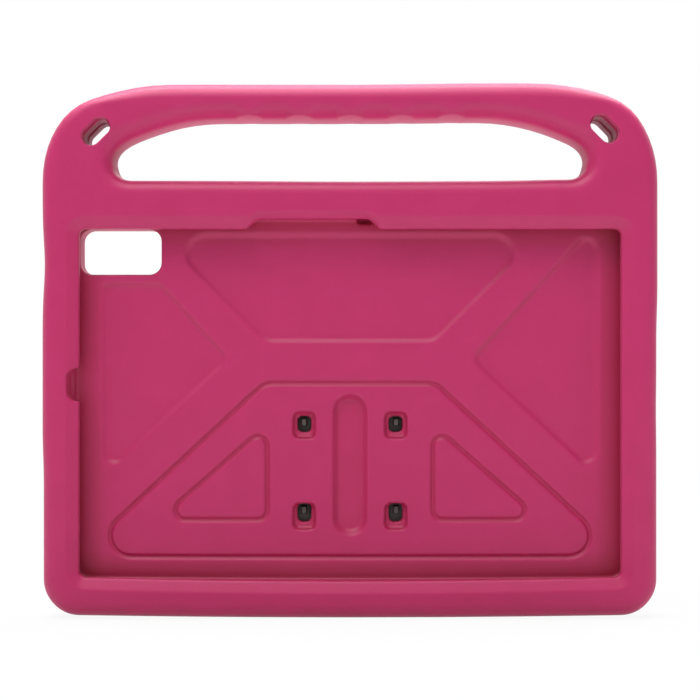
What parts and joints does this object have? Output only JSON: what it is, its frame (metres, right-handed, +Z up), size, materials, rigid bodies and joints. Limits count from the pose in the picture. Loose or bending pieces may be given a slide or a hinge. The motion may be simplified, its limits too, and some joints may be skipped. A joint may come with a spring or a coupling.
{
  "type": "foam tablet case",
  "caption": "Thick moulded foam case for an 11-inch tablet, with a carrying handle over the window, strap slots, a camera window and a clip plate on the back.",
  "frame": {"origin": "middle of the bottom edge, half way through the case's depth", "axes": "+X to the right seen from the front, +Y from the front to the back, +Z up towards the handle"},
  "size_m": [0.2862, 0.023, 0.2488],
  "materials": {
    "foam": "matte moulded closed-cell foam, pink",
    "plate": "matte moulded plastic, warm grey"
  },
  "bodies": {
    "root": {"foam_case": "foam", "clip_plate": "plate"}
  },
  "joints": []
}
